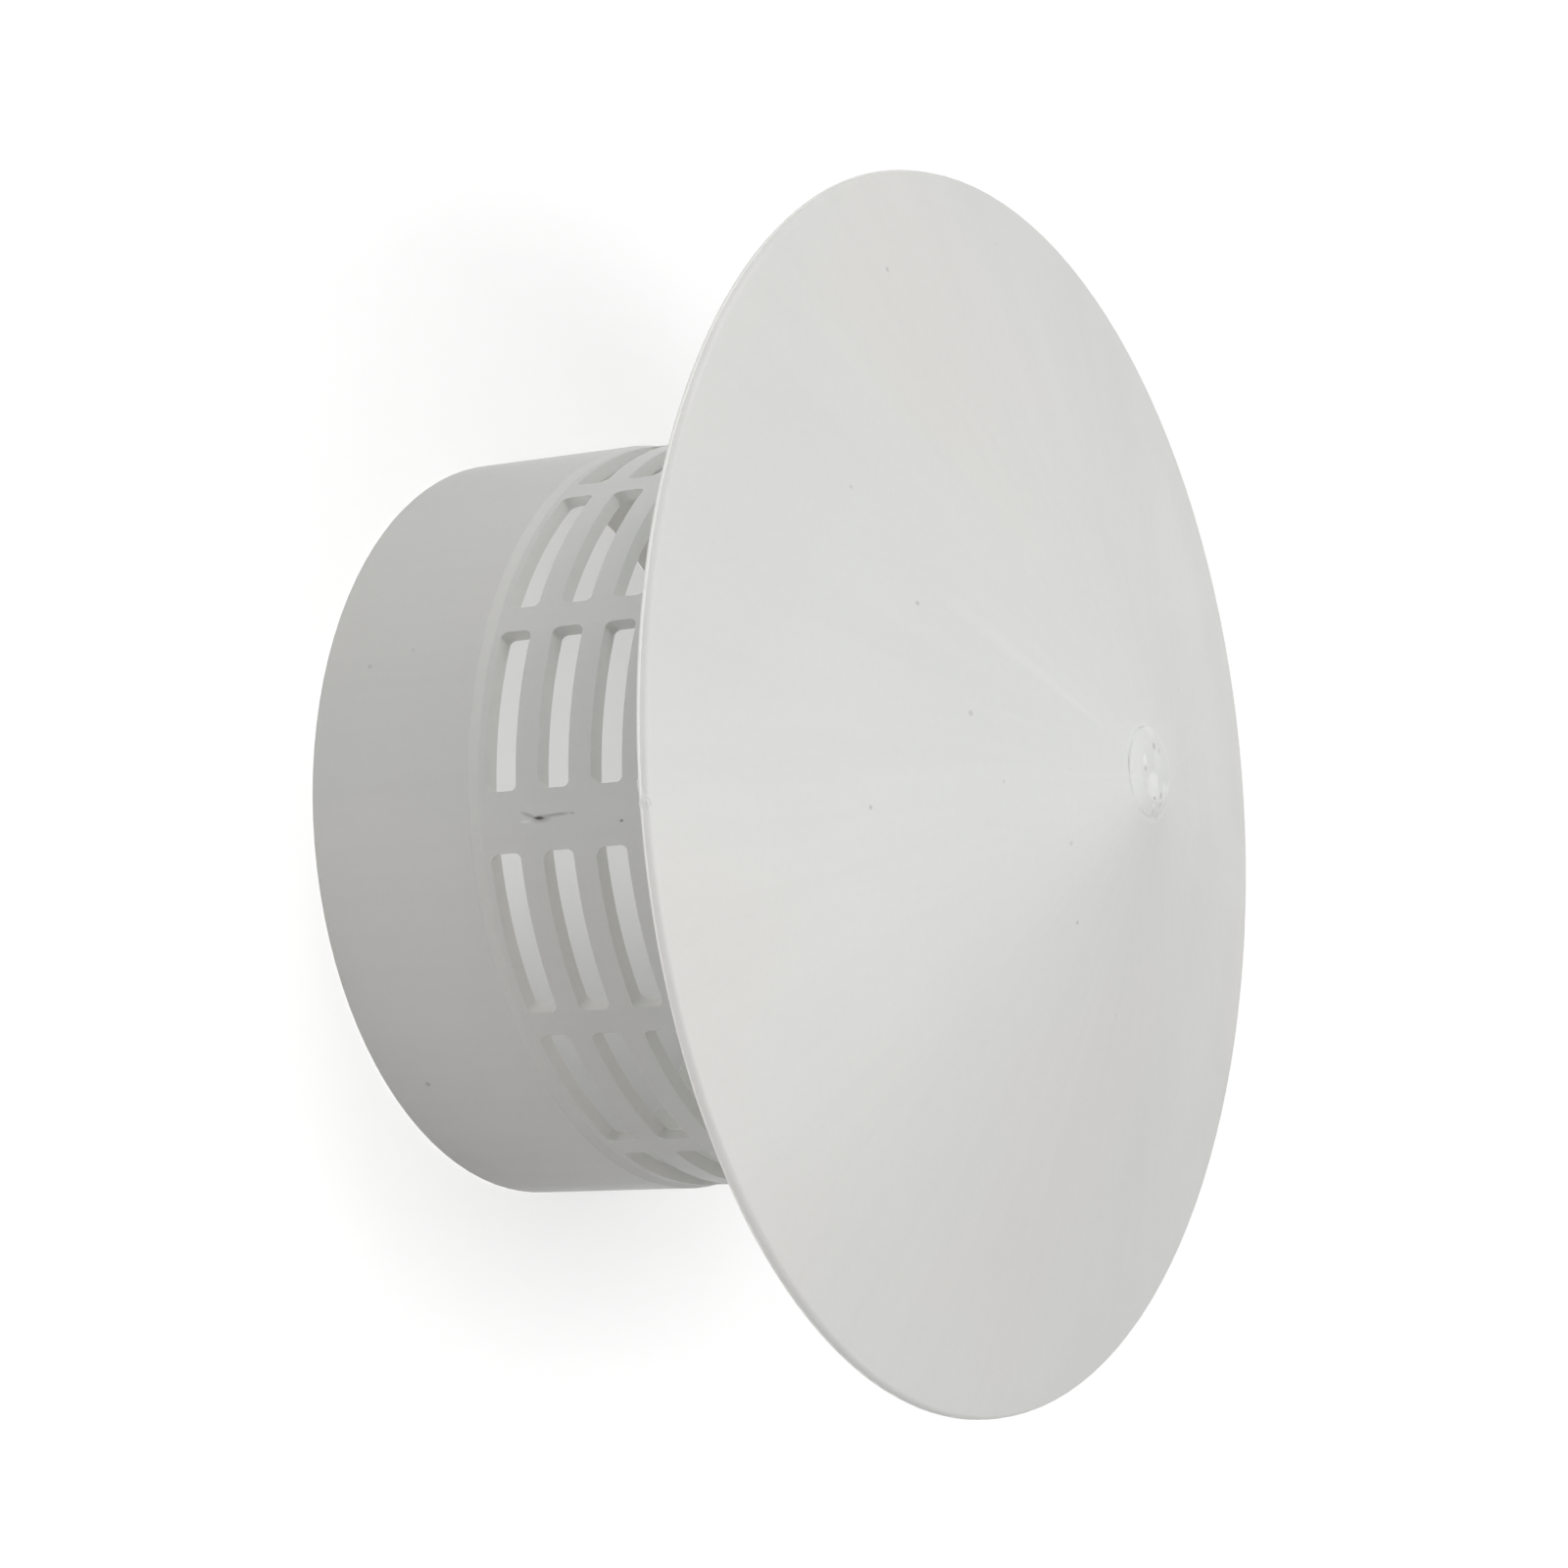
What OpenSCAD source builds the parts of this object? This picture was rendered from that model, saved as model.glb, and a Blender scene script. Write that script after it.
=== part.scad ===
// Ventilation cap for the top of a drainage vent pipe, made as one plastic moulding.
// Millimetres. +Z runs up the axis to the tip of the hat, and the origin is the centre of the
// collar's open end, which the part stands on. The broad uprights of the cage face -Y, +X, +Y, -X.

/* [Collar] */
// Diameter of the socket that slides over the pipe
socket_diameter = 110.6; // [100:0.1:125]
// Wall of the collar
collar_wall = 1.7; // [1.2:0.1:4]
// Height of the collar up to its bevel
collar_height = 27.4; // [15:0.1:60]
// Height of the bevel that leads from the collar in to the cage
bevel_height = 1.6; // [0.5:0.1:6]
// Lead-in chamfer inside the open end
lead_in = 0.5; // [0.2:0.1:1]

/* [Cage] */
// How far the cage's face is set back from the collar's face
set_back = 0.5; // [0.2:0.1:1]
// Wall of the cage
cage_wall = 1.85; // [1.2:0.05:3]
// Number of slots one above the other
slot_rows = 6; // [1:1:8]
// Number of slots side by side between two broad uprights
slots_per_quarter = 3; // [1:1:5]
// Height of a slot
slot_height = 5.2; // [3:0.1:10]
// Height of the bar between two slots
bar_height = 3.75; // [2:0.05:8]
// Plain band between the bevel and the lowest slots
lower_band = 1.25; // [0.5:0.05:10]
// Plain band between the highest slots and the underside of the hat
upper_band = 9.25; // [3:0.05:20]
// Width of an upright between two slots
upright_width = 4; // [2:0.1:8]
// Width of the four broad uprights, where the mould parts
broad_upright_width = 9.6; // [4:0.1:16]
// Corner radius of a slot
slot_corner = 1.3; // [0.3:0.1:1.4]

/* [Hat] */
// Diameter of the hat
hat_diameter = 183; // [140:0.5:240]
// Slope of the hat below the horizontal, degrees
hat_slope = 17.8; // [8:0.1:30]
// Wall of the hat, square to its surface
hat_wall = 1.6; // [1:0.1:3]
// Height of the hat's edge before it is rounded
rim_height = 1.3; // [0.8:0.1:3]
// Rounding of the rim's upper edge
rim_rounding = 0.7; // [0.2:0.1:1.2]
// Fillet between the cage and the underside of the hat
root_fillet = 1.5; // [0.5:0.1:2.5]
// Diameter of the flat at the tip
tip_diameter = 13; // [8:0.5:20]
// Diameter of the gate's stub on the tip, at its foot
gate_diameter = 13.2; // [8:0.2:14]
// Diameter of the stub's top, where it was broken off
gate_top_diameter = 9; // [3:0.2:10]
// Height of the stub's upright edge above the flat
gate_edge = 0.1; // [0.05:0.05:0.3]
// Height of the stub's top above the flat
gate_height = 0.95; // [0.4:0.05:1.5]
// How far the gate is off the axis, towards -X
gate_offset = 0.9; // [0:0.1:1.2]

/* [Hidden] */
$fn = 96;

// Slots are cut this much further than the wall, on both of its faces.
overcut = 2;
// Fillets reach this much into the wall, and the cut for a rounding as much out of it.
overlap = 0.5;

socket_radius = socket_diameter / 2;
collar_radius = socket_radius + collar_wall;
cage_radius = collar_radius - set_back;
cage_bore = cage_radius - cage_wall;
hat_radius = hat_diameter / 2;
tip_radius = tip_diameter / 2;

cage_foot = collar_height + bevel_height;
// Height of the lower edge of a row of slots, and of the cage's upper end.
function slot_level(row) = cage_foot + lower_band + row * (slot_height + bar_height);
cage_top = slot_level(slot_rows - 1) + slot_height + upper_band;

// The cage's thinner bore makes the shoulder that stops the pipe, level with the bevel's middle.
pipe_stop = collar_height + bevel_height / 2;

// The hat's wall measured upright, and its two faces as heights above a radius.
upright_hat_wall = hat_wall / cos(hat_slope);
function under_hat(radius) = cage_top + (cage_radius - radius) * tan(hat_slope);
function over_hat(radius) = under_hat(radius) + upright_hat_wall;

rim_corner = [hat_radius, over_hat(hat_radius)];
rim_foot = rim_corner.y - rim_height;
rim_inside = cage_radius + (cage_top - rim_foot) / tan(hat_slope);

// Angles that the uprights and a slot take up round the cage.
function width_angle(width) = 2 * asin(width / 2 / cage_radius);
upright_angle = width_angle(upright_width);
broad_upright_angle = width_angle(broad_upright_width);
slot_angle = (90 - broad_upright_angle - (slots_per_quarter - 1) * upright_angle) / slots_per_quarter;

// Direction of the centres of a slot's corners at its first end (0) and at its last (1), measured
// from the path of the quarter's slide.
corner_angle = asin(slot_corner / cage_radius);
function end_angle(column, end) =
    broad_upright_angle / 2 - 45 + column * (slot_angle + upright_angle)
    + (end == 0 ? corner_angle : slot_angle - corner_angle);

// A slot's round ends are drawn this much taller than the slot, at its top and at its foot, and
// the ring of its row cuts that off again.
end_excess = 0.1;
// The path of a slide is at most 45 degrees off the wall, which makes the way through it longer.
end_depth = 2 * overcut + cage_wall / cos(45);

function unit(angle) = [cos(angle), sin(angle)];

// The piece between a corner and the circle that touches both of its sides, which run from the
// corner at the angles first and second. It fills a hollow corner and cuts a raised one.
module corner_piece(corner, radius, first, second) {
    half = (second - first) / 2;
    touch = radius / tan(half);
    middle = unit(first + half);
    centre = corner + radius / sin(half) * middle;
    difference() {
        polygon([
            corner - overlap * middle,
            corner + touch * unit(first),
            centre,
            corner + touch * unit(second),
        ]);
        translate(centre) circle(radius);
    }
}

// Half of the wall's section: socket, cage and hat.
module wall_section() {
    difference() {
        polygon([
            [socket_radius + lead_in, 0],
            [collar_radius, 0],
            [collar_radius, collar_height],
            [cage_radius, cage_foot],
            [cage_radius, cage_top],
            [rim_inside, rim_foot],
            [hat_radius, rim_foot],
            rim_corner,
            [tip_radius, over_hat(tip_radius)],
            [0, over_hat(tip_radius)],
            [0, under_hat(tip_radius)],
            [tip_radius, under_hat(tip_radius)],
            [cage_bore, under_hat(cage_bore)],
            [cage_bore, pipe_stop],
            [socket_radius, pipe_stop],
            [socket_radius, lead_in],
        ]);
        corner_piece(rim_corner, rim_rounding, 180 - hat_slope, 270);
    }
    corner_piece([cage_radius, cage_top], root_fillet, 270, 360 - hat_slope);
    corner_piece([cage_bore, under_hat(cage_bore)], root_fillet, 180 - hat_slope, 270);
}

// One ring for each row of slots. The slides of the mould leave along the hat's slope, so the
// rings rise inwards.
module slot_rings() {
    rise = tan(hat_slope);
    depth = cage_wall + 2 * overcut;
    outside = cage_radius + overcut;
    for (row = [0 : slot_rows - 1])
        let (level = slot_level(row) - overcut * rise)
            rotate_extrude()
                polygon([
                    [outside, level],
                    [outside, level + slot_height],
                    [outside - depth, level + slot_height + depth * rise],
                    [outside - depth, level + depth * rise],
                ]);
}

// Plan of one quarter's slots between the centres of their corners. The sides are parallel to
// the path of the quarter's slide, which is +X here.
module slot_plan() {
    for (column = [0 : slots_per_quarter - 1])
        let (
            first = cage_radius * sin(end_angle(column, 0)),
            last = cage_radius * sin(end_angle(column, 1))
        )
            translate([0, first]) square([cage_radius + 2 * overcut, last - first]);
}

// Outline of a slot's round end, seen along its floor.
module end_outline(height) {
    length = height - 2 * (slot_corner - end_excess);
    square([length, 2 * slot_corner], center = true);
    for (side = [-1, 1])
        translate([side * length / 2, 0]) circle(slot_corner);
}

// The round ends of one quarter's slots, parallel to the same slide.
module slot_ends() {
    for (column = [0 : slots_per_quarter - 1], end = [0, 1], row = [0 : slot_rows - 1])
        let (angle = end_angle(column, end), slope = atan(tan(hat_slope) * cos(angle)))
            translate([0, 0, slot_level(row) + slot_height / 2])
                translate(cage_radius * unit(angle))
                    rotate([0, slope - 90, 0])
                        translate([0, 0, -overcut])
                            linear_extrude(end_depth) end_outline(slot_height * cos(slope));
}

// What is left of the gate: a low stub, drawn from half-way down the hat's wall.
module gate_stub() {
    translate([-gate_offset, 0, over_hat(tip_radius)])
        rotate_extrude()
            polygon([
                [0, -hat_wall / 2],
                [gate_diameter / 2, -hat_wall / 2],
                [gate_diameter / 2, gate_edge],
                [gate_top_diameter / 2, gate_height],
                [0, gate_height],
            ]);
}

module cap() {
    color("gainsboro")
        difference() {
            union() {
                rotate_extrude() wall_section();
                gate_stub();
            }
            intersection() {
                slot_rings();
                for (quarter = [0 : 3])
                    rotate(quarter * 90 + 45) {
                        linear_extrude(cage_top) slot_plan();
                        slot_ends();
                    }
            }
        }
}

cap();
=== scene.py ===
"""Ventilation cap: the moulded cap of the frame with its PVC, the small burrs that its mould left,
a plain studio and the camera of the photograph. Metres, +Z up the cap's axis."""
import math

import bmesh
import bpy
from mathutils import Matrix, Vector, noise


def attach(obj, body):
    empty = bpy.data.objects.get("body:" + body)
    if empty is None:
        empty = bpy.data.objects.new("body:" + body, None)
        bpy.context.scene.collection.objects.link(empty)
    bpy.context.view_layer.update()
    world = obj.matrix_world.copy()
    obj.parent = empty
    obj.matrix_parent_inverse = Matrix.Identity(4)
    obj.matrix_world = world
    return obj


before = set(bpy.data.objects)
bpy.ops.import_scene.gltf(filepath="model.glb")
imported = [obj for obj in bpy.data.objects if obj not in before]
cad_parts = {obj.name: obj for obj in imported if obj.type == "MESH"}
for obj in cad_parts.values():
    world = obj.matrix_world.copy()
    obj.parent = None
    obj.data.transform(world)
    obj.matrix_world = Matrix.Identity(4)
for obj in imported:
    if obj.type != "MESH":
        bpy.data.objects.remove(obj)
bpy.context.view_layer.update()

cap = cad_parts["cap"]

MM = 0.001

# Places on the solid, as its source gives them
COLLAR_RADIUS = 57.0 * MM
SOCKET_RADIUS = 55.3 * MM
LEAD_IN = 0.5 * MM
PIPE_STOP = 28.2 * MM
CAGE_RADIUS = 56.5 * MM
CAGE_BORE = 54.65 * MM
SLOTS_FOOT = 30.25 * MM
SLOTS_TOP = 80.2 * MM
HAT_RADIUS = 91.5 * MM
HAT_SLOPE = math.radians(17.8)
RIM_FOOT = 78.593 * MM
TIP_TOP = 107.184 * MM
TIP_RADIUS = 6.5 * MM
STUB_TOP = TIP_TOP + 0.95 * MM
STUB_RADIUS = 4.5 * MM
STUB_FOOT_RADIUS = 6.6 * MM
STUB_OFFSET = -0.9 * MM

# The mould parts at this angle round the axis, on the broad upright that faces the camera
PARTING = math.radians(-90.33)


def at(radius, angle, z):
    return Vector((radius * math.cos(angle), radius * math.sin(angle), z))


def smooth(value, low, high):
    part = min(1.0, max(0.0, (value - low) / (high - low)))
    return part * part * (3 - 2 * part)


# ---------------------------------------------------------------- shader helpers

class Tree:
    """The nodes of a material or the world, with sums and masks written as calls."""

    def __init__(self, owner):
        owner.use_nodes = True
        self.nodes = owner.node_tree.nodes
        self.links = owner.node_tree.links
        self.nodes.clear()

    def put(self, kind, values=(), **settings):
        """A new node. Sockets among the values are linked to its inputs, the rest are set there."""
        node = self.nodes.new(kind)
        for name, value in settings.items():
            setattr(node, name, value)
        for name, value in dict(values).items():
            socket = node.inputs[name]
            if isinstance(value, bpy.types.NodeSocket):
                self.links.new(value, socket)
            else:
                socket.default_value = value
        return node

    def math(self, operation, a, b=0.0, clamp=False):
        node = self.put("ShaderNodeMath", {0: a, 1: b}, operation=operation, use_clamp=clamp)
        return node.outputs[0]

    def add(self, a, b):
        return self.math("ADD", a, b)

    def times(self, first, *others):
        for other in others:
            first = self.math("MULTIPLY", first, other)
        return first

    def vector(self, operation, a, b):
        return self.put("ShaderNodeVectorMath", {0: a, 1: b}, operation=operation).outputs[0]

    def length(self, vector):
        return self.put("ShaderNodeVectorMath", {0: vector}, operation="LENGTH").outputs["Value"]

    def combine(self, x, y, z):
        return self.put("ShaderNodeCombineXYZ", {"X": x, "Y": y, "Z": z}).outputs[0]

    def from_axis(self, x, y):
        return self.math("SQRT", self.add(self.times(x, x), self.times(y, y)))

    def ramp(self, value, low, high, to_low=0.0, to_high=1.0):
        node = self.put(
            "ShaderNodeMapRange",
            {"Value": value, "From Min": low, "From Max": high,
             "To Min": to_low, "To Max": to_high},
            interpolation_type="SMOOTHSTEP",
        )
        return node.outputs[0]

    def near(self, value, middle, outer, inner):
        """1 within inner of the middle, falling to 0 at outer."""
        away = self.math("ABSOLUTE", self.math("SUBTRACT", value, middle))
        return self.ramp(away, outer, inner)

    def noise(self, vector, scale, detail=2.0, roughness=0.5,
              low=0.3, high=0.7, to_low=-1.0, to_high=1.0):
        """Noise whose values from low to high are spread from to_low to to_high."""
        texture = self.put(
            "ShaderNodeTexNoise",
            {"Vector": vector, "Scale": scale, "Detail": detail, "Roughness": roughness},
        )
        spread = self.put(
            "ShaderNodeMapRange",
            {"Value": texture.outputs["Fac"], "From Min": low, "From Max": high,
             "To Min": to_low, "To Max": to_high},
        )
        return spread.outputs[0]


class Skin(Tree):
    """The PVC's nodes. Each mark adds its share to the tone, which scales the colour."""

    def __init__(self, material, tone):
        super().__init__(material)
        self.tone = tone
        self.place = self.put("ShaderNodeTexCoord").outputs["Object"]
        x, y, self.z = self.put("ShaderNodeSeparateXYZ", {0: self.place}).outputs
        self.angle = self.math("ARCTAN2", y, x)
        self.radius = self.from_axis(x, y)
        # Orange peel and slight waves, in hundredths of a millimetre
        peel = self.times(self.noise(self.place, 380.0, 3.0, 0.55), 0.5)
        waves = self.times(self.noise(self.place, 38.0), 2.2)
        self.relief = self.add(peel, waves)

    def tint(self, mask, share):
        self.tone = self.add(self.tone, self.times(mask, share))

    def wobble(self):
        """Unevenness of the band of painted light on the bevel and of the line round the broken
        gate.
        """
        return self.times(self.noise(self.place, 260.0), 0.10 * MM)

    def spot(self, centre, half_sizes, soft, turn=0.0):
        """1 in the middle of an ellipsoid and 0 outside. It falls from the share soft outwards."""
        away = self.vector("SUBTRACT", self.place, centre)
        if turn:
            away = self.put(
                "ShaderNodeVectorRotate", {"Vector": away, "Angle": turn, "Axis": (0.0, 1.0, 0.0)}
            ).outputs[0]
        return self.ramp(self.length(self.vector("DIVIDE", away, half_sizes)), 1.0, soft)


# ---------------------------------------------------------------- the cap's PVC

COOL_GREY = (0.770, 0.780, 0.758, 1.0)
WARM_GREY = (0.784, 0.770, 0.746, 1.0)

# Marks on the broad upright: offset along the girth, height, half sizes, turn, how much darker.
# Those that are darker than DENTED are dents too.
DENTED = 0.5
UPRIGHT_MARKS = [
    # The scar's dark marks are partly its own dark colour and partly painted shade of its dent and
    # groove
    (0.06, 39.2, 0.38, 1.20, -0.05, 0.64),
    (0.16, 39.6, 0.80, 2.20, 0.05, 0.26),
    (-0.46, 37.4, 0.40, 1.90, -0.36, 0.28),
    (-0.26, 42.3, 0.32, 2.90, 0.03, 0.34),
    (-0.30, 44.8, 0.24, 0.55, -0.3, 0.26),
    # A painted highlight beside the scar
    (0.42, 36.7, 0.34, 1.40, 0.0, -0.13),
    (1.35, 52.9, 0.30, 0.42, 0.0, 0.60),
]

# Flecks on the hat: x, y in millimetres, half size, how much darker. The first seven are round
# the gate.
HAT_FLECKS = [
    (1.9, 3.9, 1.3, -0.10),
    (3.1, 2.7, 0.9, -0.10),
    (-6.9, 0.3, 1.7, -0.06),
    (4.0, 1.3, 0.5, 0.16),
    (4.0, -0.9, 0.5, -0.12),
    (5.1, -0.5, 0.8, 0.10),
    (5.6, 1.0, 0.9, 0.12),
    (-10.3, -35.0, 0.6, 0.20),
    (-74.6, -25.1, 0.5, 0.26),
    (-25.8, -41.0, 0.5, 0.24),
    (1.9, -54.6, 0.45, 0.26),
    (19.9, -14.7, 0.45, 0.22),
    (8.6, -17.9, 0.5, 0.15),
    (-13.5, 28.9, 0.5, 0.14),
    (-42.1, -48.3, 0.4, 0.16),
    (-0.6, -30.4, 0.4, 0.12),
    (34.0, 1.2, 0.4, 0.10),
]

# Flecks on the collar: degrees round the axis, height, half size, how much darker
COLLAR_FLECKS = [
    (-49.3, 7.3, 0.60, 0.30),
    (-115.3, 8.1, 0.50, 0.18),
    (-117.3, 15.4, 0.45, 0.10),
]

# Slots' end walls with painted shade: degrees round the axis, how much darker
PAINTED_SHADE_SLOT_ENDS = [
    (-118.7, 0.15),
    (-32.75, 0.20),
]

# Marks on the gate's break: x, y, half sizes along both, how much darker. The pale ones are torn
# white.
BREAK_MARKS = [
    (1.4, -1.2, 2.5, 2.2, -0.09),
    (0.4, -0.6, 1.5, 1.6, -0.05),
    (-2.5, -3.2, 1.3, 0.65, -0.11),
    (-2.6, 0.8, 2.0, 1.2, -0.05),
    (2.2, 2.6, 1.8, 0.9, -0.08),
    (-4.5, 0.1, 0.60, 0.50, 0.26),
    (-1.4, -3.3, 0.50, 0.50, 0.20),
    (3.0, -0.9, 0.36, 0.42, 0.38),
    (2.9, 1.2, 0.90, 0.32, 0.28),
    (-3.8, 1.6, 0.50, 0.28, 0.18),
]

# Direction in which the painted highlight, a pale line, leaves the gate
PAINTED_HIGHLIGHT_ANGLE = math.radians(-127.7)
# Heights at which the painted light on the rim's edge begins, and below which it is full
RIM_PAINTED_LIGHT = (80.1 * MM, 79.3 * MM)
# Middle of the band of painted light on the bevel
BEVEL_PAINTED_LIGHT = 28.3 * MM


def pigment(skin):
    """Clouds, streaks along the flow from the gate, fine grain and small flecks of regrind."""
    skin.tint(skin.noise(skin.place, 22.0, 3.0), 0.010)
    along_flow = skin.combine(
        skin.times(skin.math("COSINE", skin.angle), 9.0),
        skin.times(skin.math("SINE", skin.angle), 9.0),
        skin.times(skin.radius, 14.0),
    )
    skin.tint(skin.noise(along_flow, 1.6, 3.0, 0.6), 0.010)
    skin.tint(skin.noise(skin.place, 900.0), 0.006)

    # Only some of the cells hold a fleck
    cells = skin.put("ShaderNodeTexVoronoi", {"Vector": skin.place, "Scale": 62.0}).outputs
    chance = skin.put("ShaderNodeSeparateColor", {0: cells["Color"]}).outputs[0]
    size = skin.ramp(chance, 0.72, 1.0, 0.0, 0.024)
    skin.tint(skin.ramp(skin.math("SUBTRACT", cells["Distance"], size), 0.0, -0.012), -0.08)


def parting_marks(skin):
    """The dark scar and its smears where the mould parts, partly painted shade, with a painted
    highlight beside it, and a pinhole.
    """
    for side, height, half_wide, half_tall, turn, darker in UPRIGHT_MARKS:
        centre = at(CAGE_RADIUS, PARTING, height * MM) + Vector((side * MM, 0.0, 0.0))
        mask = skin.spot(centre, (half_wide * MM, 1.5 * MM, half_tall * MM), 0.25, turn)
        skin.tint(mask, -darker)
        if darker > DENTED:
            skin.relief = skin.add(skin.relief, skin.times(mask, -4 * darker))


def large_flecks(skin):
    """The larger flecks on the hat's upper face and on the collar."""
    # The sum is the same all over the hat's upper face, and smaller on what lies below
    fallen = skin.times(skin.math("MAXIMUM", skin.radius, TIP_RADIUS), math.tan(HAT_SLOPE))
    upper_face = TIP_TOP + TIP_RADIUS * math.tan(HAT_SLOPE)
    on_top = skin.ramp(skin.add(skin.z, fallen), upper_face - 1.0 * MM, upper_face - 0.5 * MM)
    on_hat = 0.0
    for x, y, half, darker in HAT_FLECKS:
        mask = skin.spot((x * MM, y * MM, 0.0), (half * MM, half * MM, 1.0), 0.3)
        on_hat = skin.add(on_hat, skin.times(mask, darker))
    skin.tint(skin.times(on_hat, on_top), -1.0)
    for degrees, height, half, darker in COLLAR_FLECKS:
        centre = at(COLLAR_RADIUS, math.radians(degrees), height * MM)
        skin.tint(skin.spot(centre, (half * MM, half * MM, half * MM), 0.3), -darker)


def painted_shade_slot_ends(skin):
    """Painted shade on slots' end walls, between the cage's faces and not on the hat above."""
    in_wall = skin.times(
        skin.ramp(skin.radius, CAGE_RADIUS - 0.05 * MM, CAGE_RADIUS - 0.20 * MM),
        skin.ramp(skin.radius, CAGE_BORE + 0.03 * MM, CAGE_BORE + 0.20 * MM),
        skin.ramp(skin.z, SLOTS_FOOT - 0.75 * MM, SLOTS_FOOT + 0.25 * MM),
        skin.ramp(skin.z, SLOTS_TOP + 4.8 * MM, SLOTS_TOP + 3.8 * MM),
    )
    # Painted shade on each listed end wall
    for degrees, darker in PAINTED_SHADE_SLOT_ENDS:
        at_end = skin.near(skin.angle, math.radians(degrees), math.radians(1.4), math.radians(0.5))
        skin.tint(skin.times(at_end, in_wall), -darker)


def socket(skin):
    """The socket's bore is pale, and its lead-in has painted shade."""
    in_bore = skin.times(
        skin.ramp(skin.radius, SOCKET_RADIUS + 0.7 * MM, SOCKET_RADIUS + 0.6 * MM),
        skin.ramp(skin.z, PIPE_STOP, PIPE_STOP - 0.1 * MM),
    )
    skin.tint(in_bore, 0.10)
    # Painted shade on the lead-in
    on_lead_in = skin.ramp(skin.z, LEAD_IN + 0.1 * MM, LEAD_IN)
    skin.tint(skin.times(in_bore, on_lead_in), -0.45)


def gate_ring(skin):
    """The line round the foot of the gate's stub, painted light on the stub's upright edge, and the
    stub's paler side.
    """
    out = skin.length(skin.vector("SUBTRACT", skin.place, (STUB_OFFSET, 0.0, TIP_TOP)))
    uneven = skin.add(out, skin.wobble())
    line = skin.near(uneven, STUB_FOOT_RADIUS + 0.08 * MM, 0.30 * MM, 0.06 * MM)
    broken_up = skin.noise(skin.place, 170.0, 1.0, 0.5, 0.44, 0.60, 0.0, 1.0)
    skin.tint(skin.times(line, broken_up), -0.05)
    # Most of the stub's upright edge gets painted light, so that the line shows in places only
    edge = skin.near(out, STUB_FOOT_RADIUS, 0.05 * MM, 0.02 * MM)
    lit_patches = skin.noise(skin.place, 120.0, 1.0, 0.5, 0.40, 0.50, 0.2, 1.0)
    skin.tint(skin.times(edge, lit_patches), 0.30)
    skin.tint(skin.ramp(out, STUB_FOOT_RADIUS, STUB_FOOT_RADIUS - 0.4 * MM), 0.03)


def painted_highlight_line(skin):
    """A painted highlight: a pale line from the gate outwards."""
    on_line = skin.times(
        skin.near(skin.angle, PAINTED_HIGHLIGHT_ANGLE, 0.06, 0.0),
        skin.ramp(skin.radius, 7 * MM, 20 * MM),
        skin.ramp(skin.radius, 48 * MM, 28 * MM),
        skin.ramp(skin.z, 80 * MM, 81 * MM),
    )
    # Painted highlight
    skin.tint(on_line, 0.034)


def painted_light_edges(skin):
    """Painted light on the rim's edge and on the bevel above the collar."""
    # Painted light on the rim's edge
    on_rim = skin.ramp(skin.radius, HAT_RADIUS - 0.6 * MM, HAT_RADIUS - 0.2 * MM)
    skin.tint(skin.times(on_rim, skin.ramp(skin.z, *RIM_PAINTED_LIGHT)), 0.22)
    # Painted light on the bevel
    uneven = skin.add(skin.z, skin.times(skin.wobble(), 1.5))
    on_bevel = skin.times(
        skin.near(uneven, BEVEL_PAINTED_LIGHT, 0.95 * MM, 0.55 * MM),
        skin.ramp(skin.radius, CAGE_RADIUS - 0.3 * MM, CAGE_RADIUS - 0.1 * MM),
    )
    skin.tint(on_bevel, 0.055)


def gate_break_marks(skin):
    """Hollows of the torn gate that are darker, and lips that are torn white."""
    for x, y, half_x, half_y, darker in BREAK_MARKS:
        half_sizes = (half_x * MM, half_y * MM, 2.0 * MM)
        skin.tint(skin.spot((x * MM, y * MM, STUB_TOP), half_sizes, 0.65), -darker)


def pvc(name, roughness, tone, marks):
    """Satin PVC with the given marks, slightly warmer and colder in places."""
    material = bpy.data.materials.new(name)
    skin = Skin(material, tone)
    pigment(skin)
    for mark in marks:
        mark(skin)
    warm = skin.ramp(skin.noise(skin.place, 13.0), -1.0, 1.0)
    colour = skin.put(
        "ShaderNodeMix", {"Factor": warm, "A": COOL_GREY, "B": WARM_GREY}, data_type="RGBA"
    ).outputs["Result"]
    toned = skin.put(
        "ShaderNodeVectorMath", {0: colour, "Scale": skin.tone}, operation="SCALE"
    ).outputs[0]
    gloss = skin.add(
        skin.times(skin.noise(skin.place, 40.0, 3.0), 0.05),
        skin.times(skin.noise(skin.place, 500.0), 0.04),
    )
    rough = skin.math("ADD", gloss, roughness, clamp=True)
    height = skin.times(skin.relief, 0.01 * MM)
    bump = skin.put("ShaderNodeBump", {"Height": height, "Strength": 1.0, "Distance": 1.0})
    shader = skin.put(
        "ShaderNodeBsdfPrincipled",
        {"Base Color": toned, "Roughness": rough, "Normal": bump.outputs[0], "IOR": 1.5},
    )
    skin.put("ShaderNodeOutputMaterial", {"Surface": shader.outputs[0]})
    return material


MOULDED_MARKS = [
    parting_marks, large_flecks, painted_shade_slot_ends, socket, gate_ring, painted_highlight_line, painted_light_edges,
]
cap_pvc = pvc("pvc_moulded", 0.44, 1.0, MOULDED_MARKS)
torn_pvc = pvc("pvc_torn", 0.58, 1.04, [gate_break_marks])
# The flash is paler, partly its own whitened colour and partly painted light for its bright edge
# line
flash_pvc = pvc("pvc_flash", 0.50, 1.22, [])

for slot in cap.material_slots:
    slot.material = cap_pvc


# ---------------------------------------------------------------- what the mould left

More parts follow.
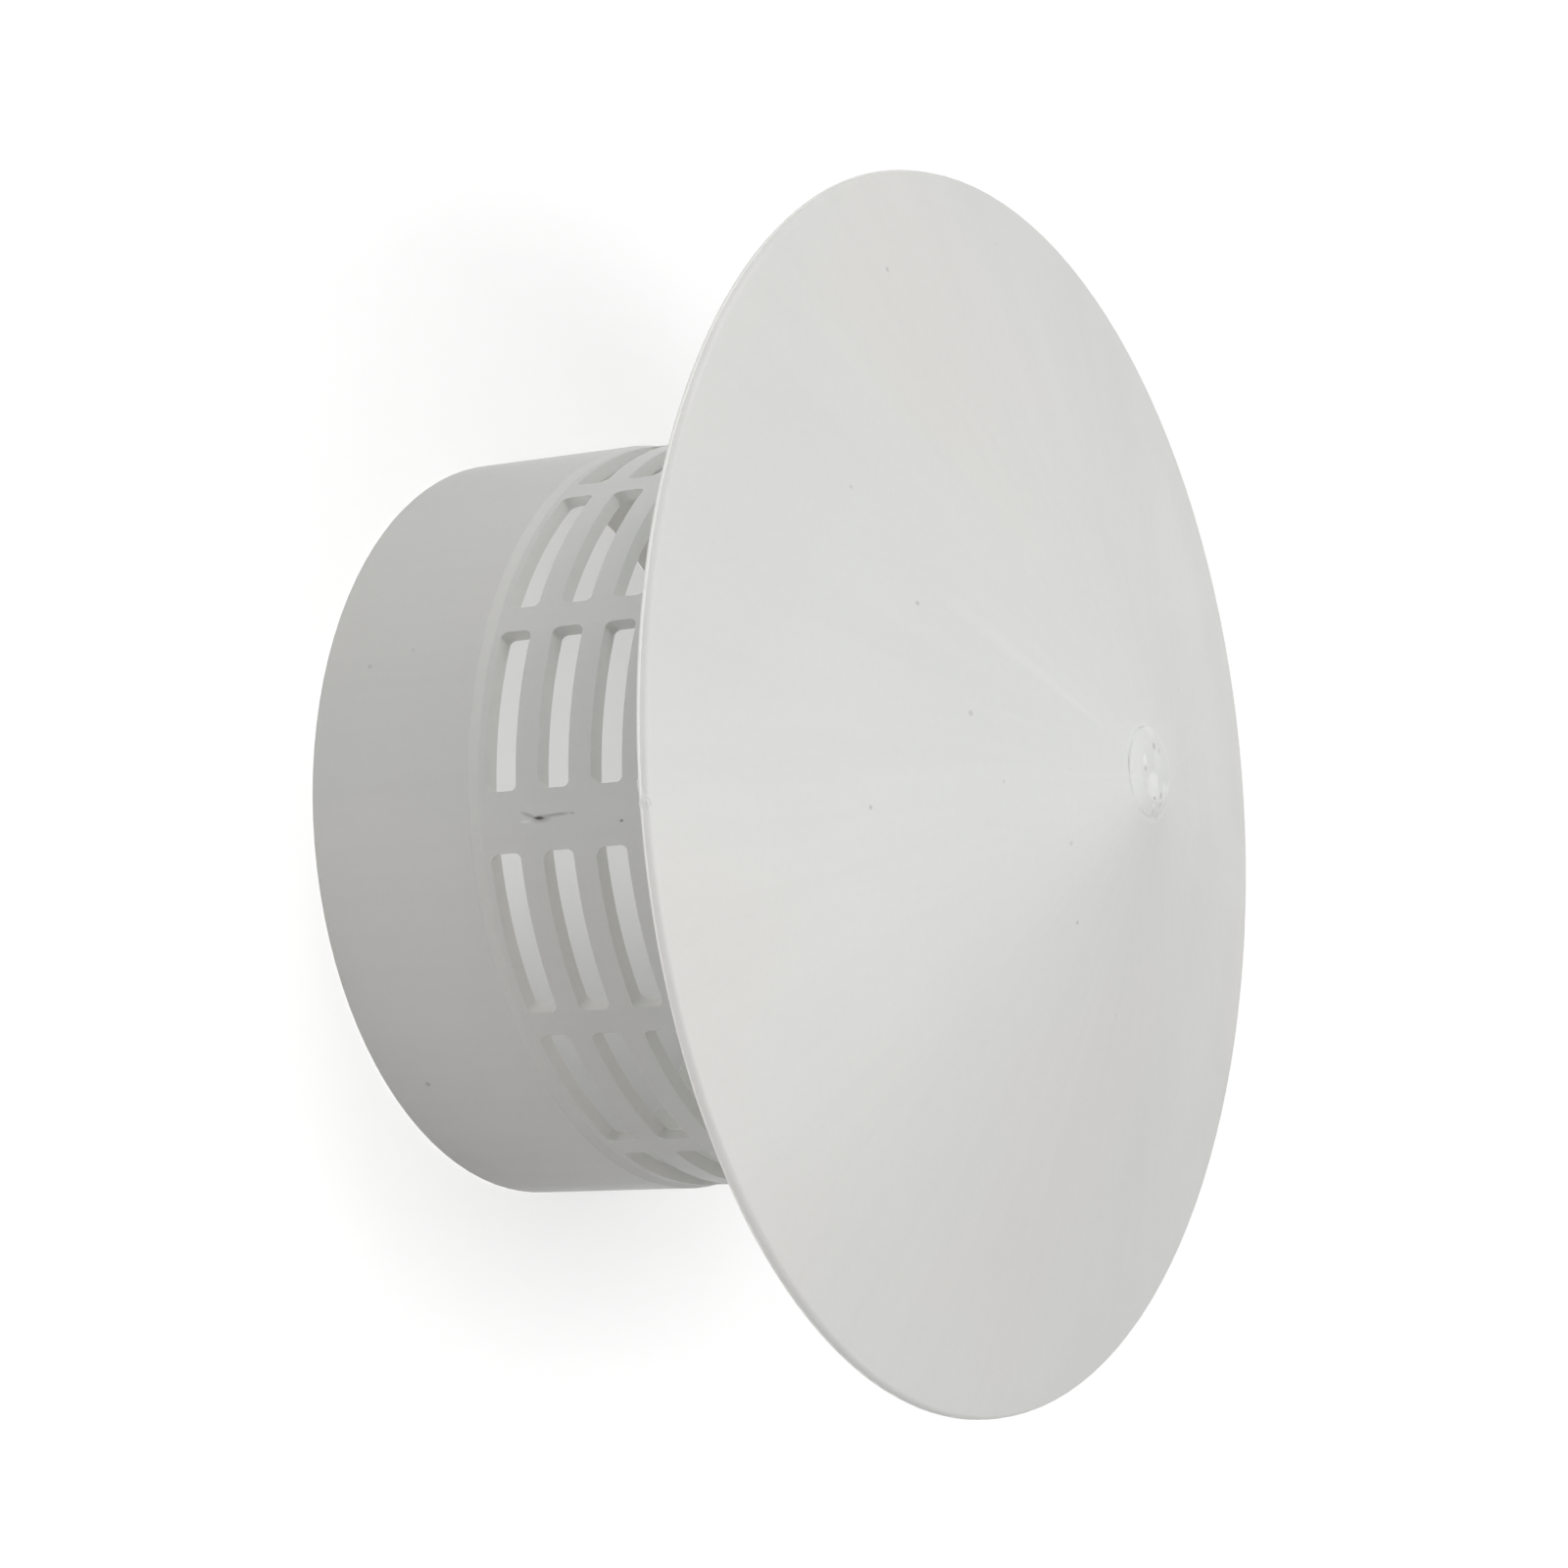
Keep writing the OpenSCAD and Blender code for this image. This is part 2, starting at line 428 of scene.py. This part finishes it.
def piece(name, mesh, material):
    """A new object of the scene that rides with the cap."""
    mesh.normal_update()
    data = bpy.data.meshes.new(name)
    mesh.to_mesh(data)
    mesh.free()
    for face in data.polygons:
        face.use_smooth = True
    data.materials.append(material)
    made = bpy.data.objects.new(name, data)
    bpy.context.scene.collection.objects.link(made)
    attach(made, "root")


def stitch(mesh, rings, looped=False):
    """Faces between each ring of corners and the next, and from the last to the first if looped."""
    following = rings[1:] + rings[:1] if looped else rings[1:]
    for ring, after in zip(rings, following):
        for side in range(len(ring)):
            other = (side + 1) % len(ring)
            mesh.faces.new([ring[side], after[side], after[other], ring[other]])


def rim_flash():
    """The thin fin of flash round the hat's lower edge, where the mould's halves meet."""
    steps = 1080
    # The flash reaches this far into the rim and below its foot
    sunk, below = 0.05 * MM, 0.03 * MM
    mesh = bmesh.new()
    rings = []
    for step in range(steps):
        angle = 2 * math.pi * step / steps
        away = math.degrees(math.remainder(angle - PARTING, 2 * math.pi))
        ragged = noise.noise(Vector((9 * math.cos(angle), 9 * math.sin(angle), 0.0)))
        fine = noise.noise(Vector((60 * math.cos(angle), 60 * math.sin(angle), 3.0)))
        # Strongest on the -X side of the parting. On its other side it is weak, most of all up
        # to 60 degrees away.
        strong = 1 - 0.55 * smooth(away, 0, 2) - 0.25 * smooth(away, 8, 18)
        strong += 0.25 * smooth(away, 60, 110)
        wide = MM * max(0.04, 0.23 * strong + 0.035 * ragged + 0.02 * fine)
        tall = 0.12 * MM + 1.1 * wide
        section = [
            (-sunk, tall), (0.55 * wide, 0.7 * tall), (wide, 0.1 * tall), (0.9 * wide, -below),
            (-sunk, -below),
        ]
        rings.append([
            mesh.verts.new(at(HAT_RADIUS + outwards, angle, RIM_FOOT + upwards))
            for outwards, upwards in section
        ])
    stitch(mesh, rings, looped=True)
    bmesh.ops.recalc_face_normals(mesh, faces=mesh.faces)
    piece("rim_flash", mesh, flash_pvc)


def rim_lump(name, angle, outwards, upwards, half_sizes, uneven, seed, material):
    """A rounded burr with an uneven skin on the rim's lower edge. Its half sizes are along the
    rim, across it and upwards, all in millimetres."""
    mesh = bmesh.new()
    bmesh.ops.create_icosphere(mesh, subdivisions=4, radius=1.0)
    for vertex in mesh.verts:
        swell = 1 + uneven * noise.noise(vertex.co * 1.7 + Vector((seed, 0, 0)))
        swell += 0.4 * uneven * noise.noise(vertex.co * 5 + Vector((0, seed, 0)))
        vertex.co = Vector(a * b * MM for a, b in zip(vertex.co * swell, half_sizes))
    centre = at(HAT_RADIUS + outwards * MM, angle, RIM_FOOT + upwards * MM)
    mesh.transform(Matrix.Translation(centre) @ Matrix.Rotation(angle + math.pi / 2, 4, "Z"))
    piece(name, mesh, material)


def gate_break():
    """The uneven top of the gate's stub, where the sprue was broken off."""
    count, steps = 26, 96
    top_radius = STUB_RADIUS - 0.2 * MM
    mesh = bmesh.new()
    rings = []
    for number in range(1, count + 1):
        ring = []
        edge = smooth(number / count, 1.0, 0.86)
        for step in range(steps):
            angle = 2 * math.pi * step / steps
            place = at(top_radius * number / count, angle, 0.0)
            grain = place / MM
            rise = 0.07 + 0.09 * noise.noise(grain * 0.55)
            rise += 0.05 * noise.noise(grain * 1.6 + Vector((7, 0, 0)))
            z = STUB_TOP + MM * (max(0.012, rise) * edge - 0.012 * (1 - edge))
            ring.append(mesh.verts.new((STUB_OFFSET + place.x, place.y, z)))
        rings.append(ring)
    middle = mesh.verts.new((STUB_OFFSET, 0, STUB_TOP + 0.08 * MM))
    for step in range(steps):
        mesh.faces.new([middle, rings[0][step], rings[0][(step + 1) % steps]])
    # Closed below, inside the stub
    foot = [mesh.verts.new((v.co.x, v.co.y, STUB_TOP - 0.1 * MM)) for v in rings[-1]]
    stitch(mesh, rings + [foot])
    mesh.faces.new(list(reversed(foot)))
    bmesh.ops.recalc_face_normals(mesh, faces=mesh.faces)
    piece("gate_break", mesh, torn_pvc)


def parting_burr():
    """The torn line on the broad upright, where two slides of the mould meet."""
    steps, around = 60, 8
    foot, length = 36.9, 8.2
    mesh = bmesh.new()
    rings = []
    for step in range(steps + 1):
        part = step / steps
        side = (-0.30 + 0.28 * smooth(part, 0.0, 0.3) - 0.22 * smooth(part, 0.55, 1.0)) * MM
        size = 0.09 * MM * math.sin(math.pi * part) ** 0.5
        size *= 1 + 0.5 * noise.noise(Vector((part * 14, 0, 0)))
        ring = []
        for corner in range(around):
            turn = 2 * math.pi * corner / around
            angle = PARTING + (side + 1.4 * size * math.cos(turn)) / CAGE_RADIUS
            radius = CAGE_RADIUS + size * math.sin(turn)
            ring.append(mesh.verts.new(at(radius, angle, (foot + length * part) * MM)))
        rings.append(ring)
    stitch(mesh, rings)
    mesh.faces.new(rings[0])
    mesh.faces.new(list(reversed(rings[-1])))
    bmesh.ops.recalc_face_normals(mesh, faces=mesh.faces)
    piece("parting_burr", mesh, cap_pvc)


rim_flash()
rim_lump("rim_nib", PARTING, -0.18, 0.60, (1.05, 0.38, 0.90), 0.22, 4.0, cap_pvc)
# The flash hangs down a little beside the nib
DRIP = PARTING - 2.2 * MM / HAT_RADIUS
rim_lump("rim_drip", DRIP, -0.05, -0.02, (0.95, 0.25, 0.34), 0.20, 9.0, flash_pvc)
gate_break()
parting_burr()


# ---------------------------------------------------------------- studio

FLOOR_COLOUR = 0.6
FLOOR_GLOW = 0.62
FLOOR_HALF = 4.0
FLOOR_BELOW = 0.2 * MM
# The lamps fade between these distances from the cap, and the paper's glow takes their place
FADE_START, FADE_END = 0.25, 0.8
# Within this radius the paper shows through the slots and has painted shadow. There it glows by the
# share SOCKET_LIGHT of its glow up to the x of SHADE_START, which falls to SOCKET_SHADE at
# SHADE_END.
SOCKET_FLOOR = 56.0 * MM
SOCKET_LIGHT, SOCKET_SHADE = 0.63, 0.22
SHADE_START, SHADE_END = -8 * MM, 44 * MM

LAMP_SIZE = 1.0
LAMP_DISTANCE = 1.65
AIM = Vector((0.0, 0.0, 0.05))

# Soft round lamps: direction round the axis and height above the horizon in degrees, watts. The
# two below stand for the light that the photographed cap lets in by its open end.
LAMPS = [
    ("lamp_top", 45, 75, 7.9),
    ("lamp_high_front", -90, 62, 6.6),
    ("lamp_high_right", -45, 62, 3.6),
    ("lamp_front", -90, 35, 4.3),
    ("lamp_left", 180, 35, 4.5),
    ("lamp_low_left", 180, 12, 5.3),
    ("lamp_below_front", -90, -35, 3.0),
    ("lamp_below_back", 90, -35, 25.3),
]

# The photograph's camera, as fitted to it. It looks down at 31 degrees, with the cap's axis to
# the right.
CAMERA_PLACE = (0.009758, -0.559025, 0.377602)
CAMERA_BACK = Vector((0.020416, -0.859916, 0.510027))
CAMERA_UP = Vector((-0.997258, 0.018776, 0.071576))
CAMERA_LENS, CAMERA_SENSOR = 98.67, 36.0


def camera_share(tree):
    """1 for rays that see the background straight, in a reflection or through glass."""
    path = tree.put("ShaderNodeLightPath").outputs
    straight = tree.math("MAXIMUM", path["Is Camera Ray"], path["Is Glossy Ray"])
    return tree.math("MAXIMUM", straight, path["Is Transmission Ray"])


def paper():
    """White paper that keeps the shadow, with painted shadow inside the collar. What it glows shows
    in the picture and lights nothing.
    """
    material = bpy.data.materials.new("studio_paper")
    t = Tree(material)
    place = t.put("ShaderNodeTexCoord").outputs["Object"]
    grey = t.times(t.noise(place, 30.0, 3.0, 0.5, 0.3, 0.7, 0.985, 1.0), FLOOR_COLOUR)
    diffuse = t.put("ShaderNodeBsdfDiffuse", {"Color": t.combine(grey, grey, grey)}).outputs[0]
    x, y, _ = t.put("ShaderNodeSeparateXYZ", {0: place}).outputs
    radius = t.from_axis(x, y)
    in_socket = t.math("LESS_THAN", radius, SOCKET_FLOOR)
    # Painted shadow inside the collar, darker towards +x
    shade = t.ramp(x, SHADE_START, SHADE_END, SOCKET_LIGHT - 1.0, SOCKET_SHADE - 1.0)
    level = t.add(
        t.times(in_socket, shade), t.ramp(radius, FADE_START, FADE_END, 1.0, 1.0 / FLOOR_GLOW))
    strength = t.times(camera_share(t), FLOOR_GLOW, level)
    glow = t.put("ShaderNodeEmission", {"Strength": strength}).outputs[0]
    lit = t.put("ShaderNodeAddShader", {0: diffuse, 1: glow}).outputs[0]
    # From below the paper doesn't hide the cap
    clear = t.put("ShaderNodeBsdfTransparent").outputs[0]
    below = t.times(
        t.put("ShaderNodeNewGeometry").outputs["Backfacing"],
        t.put("ShaderNodeLightPath").outputs["Is Camera Ray"],
    )
    mix = t.put("ShaderNodeMixShader", {0: below, 1: lit, 2: clear}).outputs[0]
    t.put("ShaderNodeOutputMaterial", {"Surface": mix})
    return material


def studio_floor():
    """A sheet of paper, just below the collar's open end."""
    mesh = bmesh.new()
    bmesh.ops.create_grid(mesh, x_segments=8, y_segments=8, size=FLOOR_HALF)
    mesh.transform(Matrix.Translation((0, 0, -FLOOR_BELOW)))
    data = bpy.data.meshes.new("studio_floor")
    mesh.to_mesh(data)
    mesh.free()
    data.materials.append(paper())
    floor = bpy.data.objects.new("studio_floor", data)
    bpy.context.scene.collection.objects.link(floor)
    # The paper takes the cap's shadow, and lets the lamps below shine in by the open end
    floor.visible_shadow = False


def sky():
    """A white world that the camera sees and that lights nothing."""
    world = bpy.data.worlds.new("studio_sky")
    bpy.context.scene.world = world
    t = Tree(world)
    white = {"Color": (1.0, 1.0, 1.0, 1.0), "Strength": camera_share(t)}
    background = t.put("ShaderNodeBackground", white)
    t.put("ShaderNodeOutputWorld", {"Surface": background.outputs[0]})


def lamp(name, azimuth, elevation, watts):
    """A disk of light that faces the cap's middle."""
    light = bpy.data.lights.new(name, "AREA")
    light.shape = "DISK"
    light.size = LAMP_SIZE
    light.energy = watts
    made = bpy.data.objects.new(name, light)
    bpy.context.scene.collection.objects.link(made)
    height = math.radians(elevation)
    away = at(math.cos(height), math.radians(azimuth), math.sin(height))
    made.location = AIM + LAMP_DISTANCE * away
    made.rotation_mode = "QUATERNION"
    made.rotation_quaternion = (-away).to_track_quat("-Z", "Y")


def camera():
    data = bpy.data.cameras.new("camera")
    data.sensor_width = CAMERA_SENSOR
    data.lens = CAMERA_LENS
    data.clip_start = 0.05
    data.clip_end = 50.0
    made = bpy.data.objects.new("camera", data)
    bpy.context.scene.collection.objects.link(made)
    back = CAMERA_BACK.normalized()
    right = CAMERA_UP.cross(back).normalized()
    up = back.cross(right)
    turn = Matrix((right, up, back)).transposed()
    made.matrix_world = Matrix.Translation(CAMERA_PLACE) @ turn.to_4x4()
    bpy.context.scene.camera = made


studio_floor()
sky()
for values in LAMPS:
    lamp(*values)
camera()
bpy.context.scene.view_settings.view_transform = "Standard"
